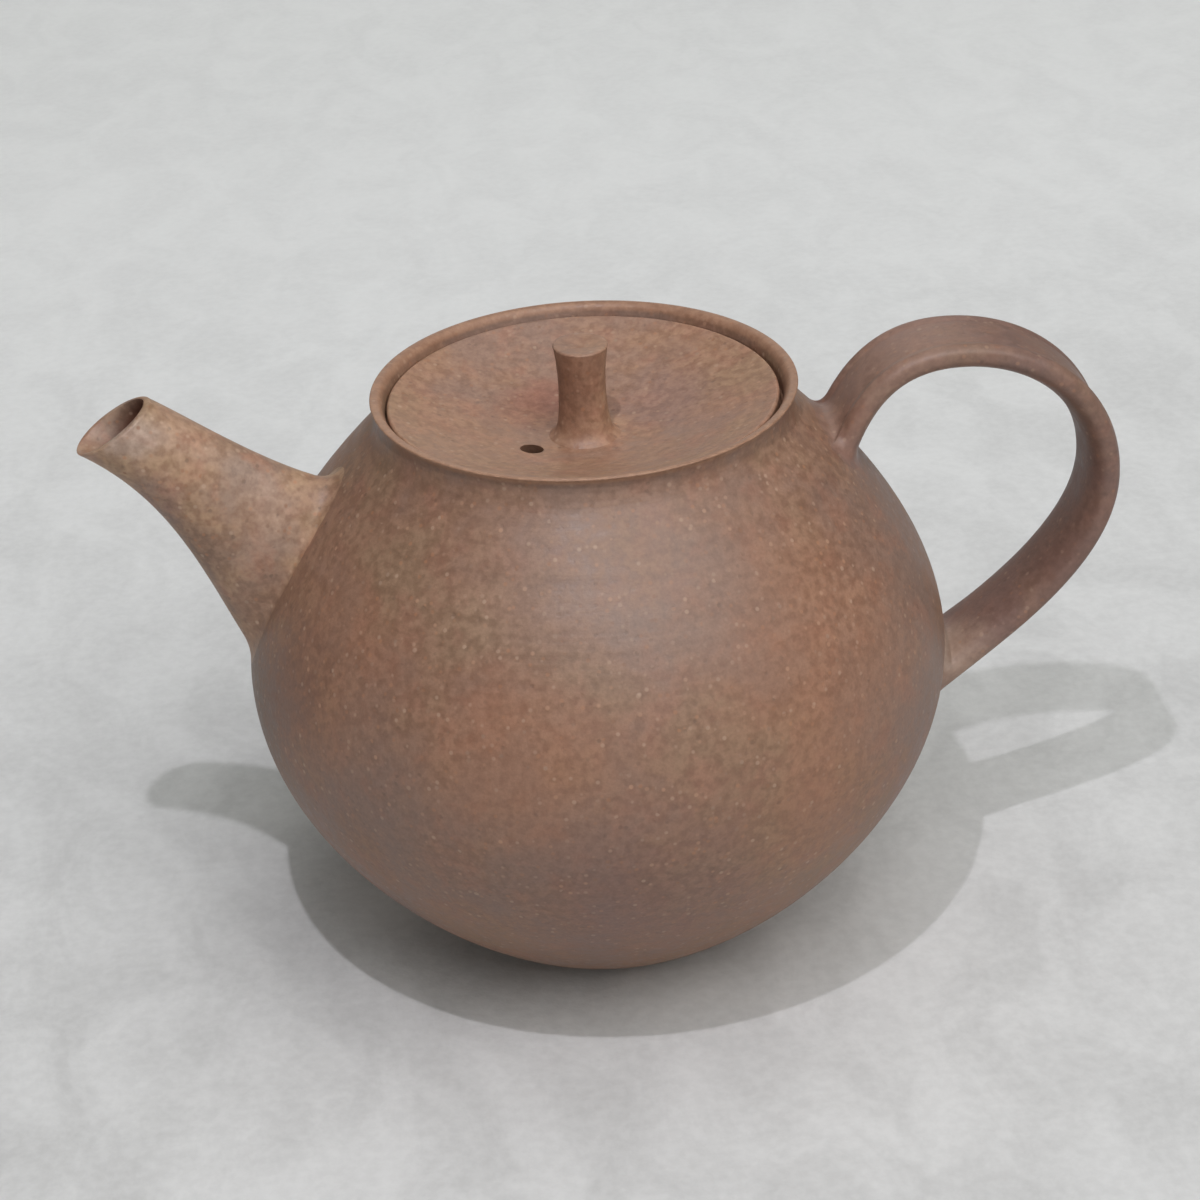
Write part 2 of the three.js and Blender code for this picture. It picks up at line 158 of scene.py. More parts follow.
# Strap handle
STRAP_W = 15.5
STRAP_T = 4.6
STRAP_GROOVE = 0.6
STRAP_HOLLOW = (0.80, 0.56)
STRAP_HOLLOW_ROUND = 0.2
STRAP_BELLY = 1.36
STRAP_OUTER_POWERS = (0.55, 0.62)
STRAP_INNER_POWERS = (0.82, 0.95)
STRAP_ROOT_W = 17.5
STRAP_ROOT_T = 4.5
STRAP_FLARE = 16.0
STRAP_SINK = 6.0
STRAP_TOP_ROOT_Z = 89.2
STRAP_LOW_ROOT_Z = 41.9
STRAP_TOP_RISE = (3.6, 8.5)
STRAP_LOW_PULL = (14.0, 9.2)
STRAP_CREST_OUT = 19.0
STRAP_CREST_UP = 1.1
STRAP_CREST_PULLS = (10.0, 14.2)
STRAP_REACH = 28.5
STRAP_BACK_UP = 25.4
STRAP_BACK_PULLS = (15.1, 14.6)
STRAP_TOP_JOIN = 2.6
STRAP_TOP_JOIN_SIDE = 2.6
STRAP_LOW_JOIN = 2.4
STRAP_LOW_JOIN_SIDE = 2.4
STRAP_LOW_JOIN_INNER = 3.4
STRAP_STEPS = 50
STRAP_SINK_STEPS = 9
STRAP_TOP_JOIN_STEPS = 12
STRAP_LOW_JOIN_STEPS = 14
STRAP_SIDES = 160

# Lid
LID_R = 32.6
LID_TOP_Z = SEAT_Z + 3.25
LID_EDGE_ROUND = 0.5
LID_EDGE_ARC_DEG = (0, 90)
LID_EDGE_STEPS = 10
LID_LOW_EASE = 0.4
LID_SIDES = 288
LID_REST = (-0.18, 0.12)
DISH_Z = SEAT_Z - 4.0
DISH_POWER = 1.4
DISH_FLAT_R = 7.3
DISH_STEPS = 90
DISH_RINGS = (4.5, 2.0, 0.0)
DISH_MARK = 0.035
DISH_MARK_PITCH = 2.3
DISH_MARK_WANDER = 4.0
DISH_MARK_EDGE = 1.2
DISH_MARK_UP = 0.5
UNDER_Z = DISH_Z - 3.4
UNDER_STEPS = 40
UNDER_RINGS = (0.0, 3.0)
UNDER_GAP = 0.7
STEP_Z = SEAT_Z - 3.0
STEP_CORNER = 0.3
FLANGE_R = 29.1
FLANGE_INNER_R = 25.6
FLANGE_H = 6.0
FLANGE_TOP_GAP = 0.6
FLANGE_LOW_GAP = 0.3
FLANGE_STEPS = 8
FLANGE_FOOT_ARC_DEG = (180, 360)
FLANGE_FOOT_STEPS = 24
FLANGE_SIDES = 192
STEAM_HOLE_HALF_L = 1.968
STEAM_HOLE_HALF_W = 1.804
STEAM_HOLE_AT = (-9.48, -4.63)
STEAM_HOLE_LEAN = math.radians(24)
STEAM_HOLE_SIDES = 40
DRILL_HALF_L = 9.0

# Knob
KNOB_SINK = 0.05
KNOB_FOOT_R = 6.0
KNOB_FOOT_H = 1.2
KNOB_FOOT_PULL = (0.5, 0.5)
KNOB_STEM_PULL = (0.35, 0.7)
KNOB_STEM_UP = 0.9
KNOB_WAIST_R = 4.1
KNOB_WAIST_UP = 8.8
KNOB_TOP_R = 4.75
KNOB_TOP_GAP = 0.34
KNOB_H = 16.4
KNOB_EDGE = 0.3
KNOB_EDGE_ROUND = 0.28
KNOB_EDGE_ARC_DEG = (-5, 95)
KNOB_BOWL = 0.5
KNOB_BOWL_EDGE = 0.1
KNOB_BOWL_SHARES = (0.6, 0.4)
KNOB_RING_R = 3.0
KNOB_WORN = 0.10
KNOB_WOBBLES = (0.06, 0.04)
KNOB_WOBBLE_TURN = 0.4
KNOB_TWIST = 4.0
KNOB_WORN_H = 3.0
KNOB_TIP = 0.08
KNOB_TIP_TURN = 2.4
KNOB_TIP_H = 7.0
KNOB_FOOT_STEPS = 18
KNOB_STEPS = 40
KNOB_EDGE_STEPS = 7
KNOB_BOWL_STEPS = 14
KNOB_SIDES = 96

# Patterns in the clay: noises as (scale per metre, detail, roughness, distortion)
BROAD = (22, 3, 0.5, 0.4)
CLOUD = (90, 4, 0.6, 0.2)
HUE = (150, 3, 0.6, 0.3)
CLUMPS = (640, 1.4, 0.5)
GRIT = (1900, 2, 0.65)
CLOUD_IN_DRIFT = 0.6
BROWN_BETWEEN = (0.36, 0.60)
OLIVE_BETWEEN = (0.50, 0.74)
OLIVE_MOST = 0.75
RED_BETWEEN = (0.46, 0.70)
RED_MOST = 0.55
PATCH_RAGGED_M = 0.014
PATCH_CORE = 0.2
BROAD_IN_GATHER = 0.5
GATHER_BETWEEN = (0.55, 0.90)
GATHER_LEAST = 0.55

# Grains: (scale per metre, whole within, gone at, how rare), the middle two as shares of a cell
SMALL_GRAINS = (780.0, 0.20, 0.44, 0.62)
LARGE_GRAINS = (330.0, 0.14, 0.24, 0.88)
GRAIN_SURE = 0.97
GRAIN_RAGGED = 0.12
PALE_AMOUNT = 0.44
RUST_AMOUNT = 0.44
DARK_AMOUNT = 0.24
DOT_AMOUNT = 0.36

# Tints: how much darker and lighter than the clay, and between which values of the pattern
CLUMP_TINT = 0.092
CLUMP_BETWEEN = (0.32, 0.68)
GRIT_TINT = 0.05
GRIT_AMOUNT = 0.8
GRIT_BETWEEN = (0.30, 0.70)
LINE_TINT = 0.10
LINE_AMOUNT = 0.4
LINE_BETWEEN = (0.32, 0.68)
LINE_LEAST = 0.15

# The lines' own noise, and its scale per metre sideways and upward
BAND = (1.0, 3, 0.55)
LINE_SIDEWAYS = 16.0
LINE_UPWARD = 620.0

# Relief, gloss and the heights where the rim and the throwing lines start
GRIT_RELIEF_M = 0.00003
CLUMP_RELIEF_M = 0.00006
DARK_RELIEF_M = -0.00002
PALE_RELIEF_M = 0.00001
DOT_RELIEF_M = 0.00002
LINE_RELIEF_M = 0.00007
CLOUD_IN_ROUGH = 0.5
ROUGH_BETWEEN = (0.50, 1.0)
ROUGHNESS = (0.43, 0.58)
SPECULAR = 0.58
RIM_FADE_M = (0.1008, 0.1016)
LINES_FADE_M = (0.060, 0.088)

# Colours of the clay. Each list of tones is brown, red, olive and grey
PALE_GRAIN = (0.52, 0.36, 0.26)
RUST_GRAIN = (0.42, 0.19, 0.095)
DARK_GRAIN = (0.085, 0.052, 0.038)
ORANGE = (0.345, 0.154, 0.078)
PLUM = (0.200, 0.107, 0.089)
BODY_TONES = [
    (0.260, 0.141, 0.090),
    (0.286, 0.138, 0.090),
    (0.253, 0.154, 0.094),
    (0.226, 0.138, 0.103),
]
SPOUT_TONES = [
    (0.370, 0.220, 0.136),
    (0.395, 0.190, 0.120),
    (0.355, 0.240, 0.138),
    (0.310, 0.210, 0.158),
]
STRAP_TONES = [
    (0.240, 0.137, 0.096),
    (0.262, 0.130, 0.090),
    (0.232, 0.146, 0.096),
    (0.208, 0.122, 0.098),
]
LID_TONES = [
    (0.350, 0.193, 0.121),
    (0.375, 0.182, 0.118),
    (0.338, 0.203, 0.123),
    (0.296, 0.178, 0.130),
]

# Patches as (middle, radius, strength, colour): flashing from the kiln, and painted shade and painted
# highlights where marked
BODY_PATCHES = [
    ((32, -43, 73), 30, 0.42, ORANGE),
    ((28, -52, 46), 20, 0.35, ORANGE),
    ((-48, -27, 70), 24, 0.35, ORANGE),
    ((-19, -54, 64), 22, 0.40, ORANGE),
    # painted highlight: a greyer patch on the upper front, where the highlight falls
    ((-4, -43, 88), 28, 0.45, (0.255, 0.160, 0.118)),
    ((0, -53, 36), 27, 0.45, PLUM),
    # painted shade: darker patches on the belly's left side, away from the light
    ((-60, -8, 52), 22, 0.70, (0.145, 0.082, 0.050)),
    ((-53, -24, 66), 17, 0.60, (0.185, 0.090, 0.058)),
    ((52, -30, 34), 22, 0.40, PLUM),
]
LID_PATCHES = [
    # partly painted shade left of the knob, partly a redder tone
    ((-6.3, 11.6, 94.5), 9, 0.60, (0.335, 0.130, 0.085)),
    # painted shade on the knob's left side
    ((-4, -2, 103), 9.5, 0.70, (0.210, 0.106, 0.066)),
    ((15, 6, 96), 13, 0.50, (0.265, 0.158, 0.138)),
    # lighter, redder patches on the dish's slope: a painted highlight ring, with a redder tone as well
    ((24, -4, 98), 10, 0.25, (0.37, 0.18, 0.12)),
    ((-24, -8, 98), 12, 0.25, (0.37, 0.22, 0.145)),
]
SPOUT_PATCHES = [
    # painted shade along the spout's lower side
    ((-55, -6, 69), 12, 0.65, (0.245, 0.130, 0.082)),
    ((-66, -4, 82), 10, 0.75, (0.225, 0.125, 0.078)),
    # painted light on the spout's upper side near the wall
    ((-53.7, -6.5, 87), 8, 0.55, (0.410, 0.265, 0.195)),
    ((-72, -4, 91), 8, 0.50, PLUM),
    # painted light on the spout's top near the mouth, and a greyish painted highlight on the mouth's near
    # lip
    ((-64, -3, 105), 10, 0.60, (0.440, 0.270, 0.180)),
    ((-74, -5, 104), 8, 0.55, (0.40, 0.31, 0.26)),
    ((-43.5, -5, 92.5), 9, 0.90, (0.262, 0.143, 0.092)),
]
STRAP_PATCHES = [
    ((62, -5, 46), 9, 0.75, (0.38, 0.265, 0.20)),
    # painted light on the handle's crest, with a pinker tone as well
    ((50, 0, 104), 21, 0.60, (0.315, 0.185, 0.140)),
    # painted shade on the back of the handle, where its inner face is in shade
    ((86, 0, 88), 18, 0.45, (0.165, 0.090, 0.068)),
    ((84, 0, 62), 24, 0.65, (0.170, 0.092, 0.070)),
]

# Painted shade a little way down the spout's bore: distances along its axis and off it
BORE_SHADE_COLOUR = (0.095, 0.028, 0.014)
BORE_SHADE_AMOUNT = 0.92
BORE_STARTS = (-0.5, 3.5)
BORE_ENDS = (11.0, 15.0)
BORE_SIDE = (5.7, 6.3)

# Paper ground
# painted shade: the paper is darker towards the front, evening out the near lamp's stronger light there
PAPER_NEAR = (0.655, 0.652, 0.648)
PAPER_FAR = (0.885, 0.883, 0.885)
PAPER_FADE_M = (-0.10, 0.40)
PAPER_BROAD = (7, 3, 0.5)
PAPER_CLOUD = (55, 5, 0.62, 0.6)
PAPER_FIBRE = (420, 3, 0.6)
PAPER_STRETCH = (1.0, 0.62, 1.0)
PAPER_ROUGHNESS = 0.9
PAPER_SPECULAR = 0.1
PAPER_RELIEF_M = 0.0004
PAPER_RELIEF_SHARE = 0.35
GROUND_HALF = 3000

# Tints of the paper by its three noises, as (amount, between, depth)
PAPER_TINTS = [
    (0.6, (0.30, 0.70), 0.09),
    (1.0, (0.32, 0.68), 0.11),
    (0.8, (0.30, 0.70), 0.07),
]

# Light: far lights as (name, turn and rise in degrees, metres away, degrees wide, strength, colour)
LAMP_AT_M = (-0.083, -0.270, 0.610)
LAMP_TARGET_M = (0, 0, 0.03)
LAMP_SIZE_M = 0.012
LAMP_WATTS = 0.98
LAMP_COLOUR = (0.95, 0.94, 1.0)
FAR_TARGET_M = (0, 0, 0.05)
FAR_LIGHTS = [
    ("side_window", -50, 46, 3.0, 46, 0.90, (1.0, 0.99, 0.96)),
    ("front_window", -78, 56, 3.0, 40, 0.88, (0.96, 0.98, 1.0)),
    ("low_window", -92, 16, 3.0, 36, 0.24, (1.0, 1.0, 0.98)),
    ("ceiling", 40, 76, 3.0, 40, 0.50, (0.98, 1.0, 0.97)),
    ("back_wall", 85, 24, 1.2, 34, 0.20, (0.98, 1.0, 0.97)),
]
AIR_COLOUR = (0.96, 1.0, 0.96)
AIR_STRENGTH = 0.14

# Camera, placed by the outlines of the pot in the photo
CAMERA_AT_M = (-0.0504, -0.4497, 0.3100)
CAMERA_RIGHT = (0.9892, -0.1388, -0.0472)
CAMERA_BACK = (-0.0992, -0.8709, 0.4814)
LENS = 90
SENSOR_W = 36
CLIP_END_M = 20


# Curves and meshes

def unit(way):
    return way / np.linalg.norm(way)


def ramp(value, start, end):
    """0 before start and 1 past end. Start may be the larger one."""
    return np.clip((value - start) / (end - start), 0, 1)


def lengths(line):
    """How far along the line each of its points is."""
    return np.concatenate([[0], np.cumsum(np.linalg.norm(np.diff(line, axis=0), axis=1))])


def full_turn(sides):
    return np.linspace(0, 2 * math.pi, sides, endpoint=False)


def bezier(points, count):
    t = np.linspace(0, 1, count)[:, None]
    p = [np.array(q, float) for q in points]
    while len(p) > 1:
        p = [a * (1 - t) + b * t for a, b in zip(p[:-1], p[1:])]
    return p[0]


def rounded(centre, radius, arc_deg, count):
    turn = np.radians(np.linspace(*arc_deg, count))
    return np.stack([centre[0] + radius * np.cos(turn), centre[1] + radius * np.sin(turn)], -1)


def add_mesh(name, verts, faces):
    mesh = bpy.data.meshes.new(name)
    mesh.from_pydata((np.asarray(verts, float) * MM).tolist(), [], faces)
    mesh.polygons.foreach_set("use_smooth", [True] * len(mesh.polygons))
    mesh.update()
    obj = bpy.data.objects.new(name, mesh)
    bpy.context.scene.collection.objects.link(obj)
    return obj


def skin(name, rows, joins_back=False):
    """A closed skin over rows of rings. A ring with one point is a pole."""
    verts, starts = [], []
    for row in rows:
        starts.append(len(verts))
        verts.extend(np.asarray(row, float).reshape(-1, 3).tolist())
    sides = max(len(row) for row in rows)
    faces = []
    count = len(rows)
    for r in range(count if joins_back else count - 1):
        a, b = r, (r + 1) % count
        pole_a, pole_b = len(rows[a]) == 1, len(rows[b]) == 1
        for i in range(sides):
            j = (i + 1) % sides
            if pole_a:
                faces.append((starts[a], starts[b] + j, starts[b] + i))
            elif pole_b:
                faces.append((starts[a] + i, starts[a] + j, starts[b]))
            else:
                faces.append((starts[a] + i, starts[a] + j, starts[b] + j, starts[b] + i))
    return add_mesh(name, verts, faces)


def turned(name, profile, sides, shift=None):
    """A turned piece. The profile runs anticlockwise in (radius, height), from axis to axis."""
    turn = full_turn(sides)
    rows = []
    for r, z in profile:
        if r < ON_AXIS:
            rows.append([(0.0, 0.0, z)])
            continue
        radius = np.full(sides, r)
        height = np.full(sides, z)
        if shift is not None:
            radius, height = shift(radius, height, turn)
        rows.append(np.stack([radius * np.cos(turn), radius * np.sin(turn), height], -1))
    return skin(name, rows, joins_back=profile[0][0] > ON_AXIS)


def oval_bar(name, half_a, half_b, low, high, sides):
    turn = full_turn(sides)
    ring = np.stack([half_a * np.cos(turn), half_b * np.sin(turn), np.zeros(sides)], -1)
    rows = [[(0, 0, low)], ring + [0, 0, low], ring + [0, 0, high], [(0, 0, high)]]
    return skin(name, rows)


def gathered(name, parts):
    """One object holding the meshes of several, each moved by its own matrix."""
    verts, faces = [], []
    for part, place in parts:
        start = len(verts)
        verts += [tuple(place @ v.co / MM) for v in part.data.vertices]
        faces += [tuple(start + i for i in face.vertices) for face in part.data.polygons]
        bpy.data.objects.remove(part)
    return add_mesh(name, verts, faces)


def baked(obj):
    """The object's mesh with its modifiers applied."""
    dg = bpy.context.evaluated_depsgraph_get()
    mesh = bpy.data.meshes.new_from_object(obj.evaluated_get(dg))
    obj.modifiers.clear()
    obj.data = mesh
    return obj


def carve(obj, cutter):
    cut = obj.modifiers.new("cut", "BOOLEAN")
    cut.operation = "DIFFERENCE"
    cut.solver = "EXACT"
    cut.object = cutter
    bpy.context.view_layer.update()
    baked(obj)
    bpy.data.objects.remove(cutter)
    return obj


def crisp(obj):
    """Smooth shading, apart from edges sharper than an angle."""
    obj.data.polygons.foreach_set("use_smooth", [True] * len(obj.data.polygons))
    obj.data.set_sharp_from_angle(angle=math.radians(CRISP_DEG))
    return obj


# The vessel's outline, and distances from it

def vessel_outline():
    base = np.array([BASE_R, 0.0])
    belly = np.array([BELLY_R, BELLY_Z])
    shoulder = np.array([SHOULDER_R, SHOULDER_Z])
    low_steps, high_steps = OUTLINE_STEPS
    lower = bezier([base, base + BASE_PULL, belly - [0, BELLY_PULL_DOWN], belly], low_steps)
    over = shoulder + [SHOULDER_PULL[0], -SHOULDER_PULL[1]]
    upper = bezier([belly, belly + [0, BELLY_PULL_UP], over, shoulder], high_steps)
    return np.vstack([lower, upper[1:]])


outline = vessel_outline()
slope = np.gradient(outline, axis=0)
slope /= np.linalg.norm(slope, axis=1, keepdims=True)


def wall_r(z):
    return np.interp(z, outline[:, 1], outline[:, 0])


def wall_normal(points):
    """The way out square to the vessel's wall, near each point."""
    up = np.interp(points[..., 2], outline[:, 1], slope[:, 1])
    lean = np.interp(points[..., 2], outline[:, 1], slope[:, 0])
    turn = np.arctan2(points[..., 1], points[..., 0])
    return np.stack([up * np.cos(turn), up * np.sin(turn), -lean], -1)


def above_wall(points):
    """How far each point lies outside the vessel's wall."""
    up = np.interp(points[..., 2], outline[:, 1], slope[:, 1])
    return (np.hypot(points[..., 0], points[..., 1]) - wall_r(points[..., 2])) * up


def on_wall(z):
    return np.array([wall_r(z), z])


def meets_wall(line):
    """The line as far as the wall, ending on it."""
    gap = above_wall(line)
    inside = int(np.argmax(gap < 0))
    share = gap[inside - 1] / (gap[inside - 1] - gap[inside])
    landing = line[inside - 1] + share * (line[inside] - line[inside - 1])
    return np.vstack([line[:inside], landing])


def luted(lines, reach, joint_steps):
    """Lines that run into the wall, each eased onto it as smoothed clay. lines is (along, round, 3)."""
    count = lines.shape[1]
    made = np.zeros((LUTE_STEPS + joint_steps + 1, count, 3))
    cut = [meets_wall(lines[:, i]) for i in range(count)]
    middle = np.mean([line[-1] for line in cut], axis=0)
    dip = (np.linspace(0, 1, joint_steps) ** 2 * LUTE_DIP)[:, None]
    for i, line in enumerate(cut):
        landing = line[-1]
        width = reach(i / count)
        at = lengths(line)
        stops = np.linspace(0, at[-1] - width, LUTE_STEPS)
        part = np.stack([np.interp(stops, at, line[:, k]) for k in range(3)], -1)
        normal = wall_normal(landing)
        outward = landing - middle
        outward = unit(outward - normal * (outward @ normal))
        end = landing + outward * width
        end -= wall_normal(end) * above_wall(end)
        ease = bezier([part[-1], landing, end], joint_steps + 1)[1:]
        made[:LUTE_STEPS, i] = part
        made[LUTE_STEPS:-1, i] = ease - wall_normal(ease) * dip
        made[-1, i] = end - wall_normal(end) * LUTE_SINK
    return made


# Pot body

def rim_profile():
    """Over the lip and down into the mouth, as far as the lid's top."""
    lip = rounded((LIP_R - LIP_ROUND, RIM_Z - LIP_ROUND), LIP_ROUND, LIP_ARC_DEG, LIP_STEPS)
    neck = bezier([
        (SHOULDER_R, SHOULDER_Z),
        (SHOULDER_R - NECK_PULL[0], SHOULDER_Z + NECK_PULL[1]),
        (LIP_R - LIP_PULL[0], RIM_Z - LIP_PULL[1]),
        lip[0],
    ], NECK_STEPS)[1:-1]
    rim_in = LIP_R - RIM_TOP_W
    rim = bezier([
        lip[-1],
        (rim_in, RIM_Z + RIM_CROWN),
        (rim_in - RIM_FALL[0], RIM_Z - RIM_FALL[1]),
        (MOUTH_R + MOUTH_PULL[0], LID_TOP_Z + MOUTH_PULL[1]),
        (MOUTH_R, LID_TOP_Z - MOUTH_DROP),
    ], RIM_STEPS)[1:]
    return [*neck, *lip, *rim]


def gallery_profile():
    low_z = SEAT_Z - GALLERY_T
    return [
        (MOUTH_R, SEAT_Z + GALLERY_EASE),
        (MOUTH_R - GALLERY_EASE, SEAT_Z),
        (GALLERY_R + GALLERY_EASE, SEAT_Z),
        (GALLERY_R, SEAT_Z - GALLERY_EASE),
        (GALLERY_R, low_z + GALLERY_FOOT_UP),
        (GALLERY_R + GALLERY_FOOT[0], low_z - GALLERY_FOOT[1]),
    ]


def body_profile():
    base = rounded((BASE_R - BASE_EASE, BASE_EASE), BASE_EASE, BASE_ARC_DEG, BASE_STEPS)
    wall = outline[outline[:, 0] > base[-1][0] + BASE_GAP]
    inside = outline + np.stack([-slope[:, 1], slope[:, 0]], -1) * WALL
    above_floor = inside[:, 1] > FLOOR + FLOOR_CLEAR
    below_gallery = inside[:, 1] < SEAT_Z - 2 * GALLERY_T
    inside = inside[above_floor & below_gallery]
    rows = [(r, 0) for r in BASE_RINGS]
    rows += [*base, *wall, *rim_profile(), *gallery_profile(), *inside[::-1]]
    rows += [(inside[0][0] - FLOOR_CORNER, FLOOR)]
    rows += [(r, FLOOR) for r in FLOOR_RINGS]
    return rows


def throwing(radius, height, turn):
    """Shallow spiral ridges left by the fingers, always inward of the outline."""
    wander = RIPPLE_WANDER * np.sin(height / RIPPLE_WANDER_H)
    swell = 0.5 + 0.5 * np.sin(2 * math.pi * height / RIPPLE_PITCH + turn + wander)
    fade = ramp(height, *RIPPLE_STARTS) * ramp(height, *RIPPLE_ENDS)
    strength = RIPPLE_LEAST + (1 - RIPPLE_LEAST) * ramp(height, *RIPPLE_GROWS)
    sway = SWAY * (0.5 + 0.5 * np.cos(2 * turn + SWAY_TURN)) * ramp(height, *SWAY_GROWS)
    oval = RIM_OVAL * np.sin(turn) ** 2 * ramp(height, *RIM_OVAL_GROWS)
    outer = radius > wall_r(height) - OUTER_MARGIN
    drawn = (RIPPLE * swell * strength + sway) * fade + oval
    return np.where(outer, radius - drawn, radius), height


def make_pot():
    pot = turned("pot_body_clay", body_profile(), BODY_SIDES, throwing)
    low, high = -PORT_PAST, WALL + PORT_PAST
    cutter = oval_bar("port_cutter", PORT_HALF_H, PORT_HALF_W, low, high, PORT_SIDES)
    return crisp(carve(pot, at_port(cutter)))


# The port in the wall behind the spout

def port_wall():
    """The port's middle on the outside of the wall, and the way out there."""
    r, z = on_wall((SPOUT_ROOT_TOP_Z + SPOUT_ROOT_LOW_Z) / 2)
    middle = np.array([-r, 0.0, z])
    return middle, wall_normal(middle)


port_middle, port_out = port_wall()
port_turn = Vector((0, 0, 1)).rotation_difference(Vector(port_out)).to_matrix().to_4x4()
port_frame = Matrix.Translation(Vector(port_middle - port_out * WALL) * MM) @ port_turn


def at_port(obj):
    """The object moved from the origin to the inside of the wall at the port, facing out."""
    obj.data.transform(port_frame)
    return obj


# Spout

def spout_edges(count):
    """Upper and lower outline of the spout in the XZ plane, from the wall to the mouth."""
    up = np.array([math.sin(SPOUT_MOUTH_TILT), math.cos(SPOUT_MOUTH_TILT)])
    back = np.array([math.cos(SPOUT_AXIS_TILT), -math.sin(SPOUT_AXIS_TILT)])
    edges = []
    for z, side, (pull, mouth_pull) in (
        (SPOUT_ROOT_TOP_Z, 1, SPOUT_TOP_PULLS),
        (SPOUT_ROOT_LOW_Z, -1, SPOUT_LOW_PULLS),
    ):
        root = on_wall(z) * [-1, 1]
        mouth = np.array(SPOUT_MOUTH) + up * side * SPOUT_MOUTH_R
        edges.append(bezier([root, root + pull, mouth + back * mouth_pull, mouth], count))
    return edges


def spout_ring(top, low, half_w, inset, shift=(0, 0)):
    middle = (top + low) / 2 + shift
    up = (top - low) / 2
    up *= 1 - inset / np.linalg.norm(up)
    turn = full_turn(SPOUT_SIDES)
    x = middle[0] + up[0] * np.cos(turn)
    z = middle[1] + up[1] * np.cos(turn)
    return np.stack([x, (half_w - inset) * np.sin(turn), z], -1)


def spout_opening():
    turn = full_turn(SPOUT_SIDES)
    return np.stack([
        SPOUT_OPENING[0] + SPOUT_OPENING_R * math.cos(SPOUT_OPENING_TILT) * np.cos(turn),
        SPOUT_OPENING_HALF_W * np.sin(turn),
        SPOUT_OPENING[1] + SPOUT_OPENING_R * math.sin(SPOUT_OPENING_TILT) * np.cos(turn),
    ], -1)


def spout_lip(rim, opening):
    """Rings that roll over from the mouth's outer edge to its opening."""
    out = np.array([-math.cos(SPOUT_MOUTH_TILT), 0, math.sin(SPOUT_MOUTH_TILT)])
    wide = np.linalg.norm(rim - opening, axis=1, keepdims=True)
    over = rim + out * wide * SPOUT_LIP_FULLNESS
    shares = np.linspace(0, 1, SPOUT_LIP_STEPS)[1:]
    return [(1 - t) ** 2 * rim + 2 * t * (1 - t) * over + t ** 2 * opening for t in shares]


def spout_join(share):
    """How wide the smoothed clay is, at a share of the way round. It is widest above and below."""
    return SPOUT_JOIN + SPOUT_JOIN_GAIN * math.cos(2 * math.pi * share) ** 2


def make_spout():
    top, low = spout_edges(SPOUT_STEPS)
    share = np.linspace(0, 1, SPOUT_STEPS)
    half_w = SPOUT_ROOT_HALF_W + (SPOUT_MOUTH_HALF_W - SPOUT_ROOT_HALF_W) * share
    wall = SPOUT_ROOT_WALL + (SPOUT_LIP_WALL - SPOUT_ROOT_WALL) * share
    step = -port_out[[0, 2]] * SPOUT_SINK / SPOUT_SINK_STEPS
    sunk = [step * k for k in range(1, SPOUT_SINK_STEPS + 1)]
    outer = [spout_ring(top[i], low[i], half_w[i], 0) for i in range(SPOUT_STEPS)][::-1]
    outer += [spout_ring(top[0], low[0], half_w[0], 0, shift) for shift in sunk]
    skirt = luted(np.array(outer), spout_join, SPOUT_JOIN_STEPS)
    opening = spout_opening()
    lip = spout_lip(outer[0], opening)
    bore = [spout_ring(top[0], low[0], half_w[0], wall[0], step)]
    bore += [spout_ring(top[i], low[i], half_w[i], wall[i]) for i in range(SPOUT_STEPS)]
    offset = opening - bore[-1]
    for k in range(1, SPOUT_THROAT_STEPS + 1):
        bore[-k] = bore[-k] + offset * (1 - k / SPOUT_THROAT_STEPS) ** 2
    bore[-1] = opening * (1 - SPOUT_THROAT_EASE) + bore[-2] * SPOUT_THROAT_EASE
    rows = [*skirt[::-1], *lip, *bore[::-1]]
    return crisp(skin("spout_clay", rows, joins_back=True))


# Strainer: part of a hollow ball behind the port, pierced by rings of holes

def strainer_pins():
    """A pin for each hole, with the matrix that turns it to its place."""
    pins = []
    for row in range(STRAINER_ROWS + 1):
        lean = STRAINER_PITCH * row
        count = max(1, round(2 * math.pi * math.sin(lean) / STRAINER_PITCH))
        for i in range(count):
            pin = oval_bar("pin", STRAINER_HOLE_R, STRAINER_HOLE_R, *STRAINER_PIN, STRAINER_PIN_SIDES)
            turn = Matrix.Rotation(2 * math.pi * i / count, 4, "Z")
            pins.append((pin, turn @ Matrix.Rotation(lean, 4, "Y")))
    return pins


def make_strainer():
    rows = []
    lean = np.radians(np.linspace(*STRAINER_ARC_DEG, STRAINER_STEPS))
    for radius, angles in ((STRAINER_R, lean), (STRAINER_R - STRAINER_T, lean[::-1])):
        rows += [(max(radius * math.sin(a), 0.0), radius * math.cos(a)) for a in angles]
    dome = turned("strainer_clay", rows, STRAINER_SIDES)
    return crisp(at_port(carve(dome, gathered("pins", strainer_pins()))))


# Strap handle

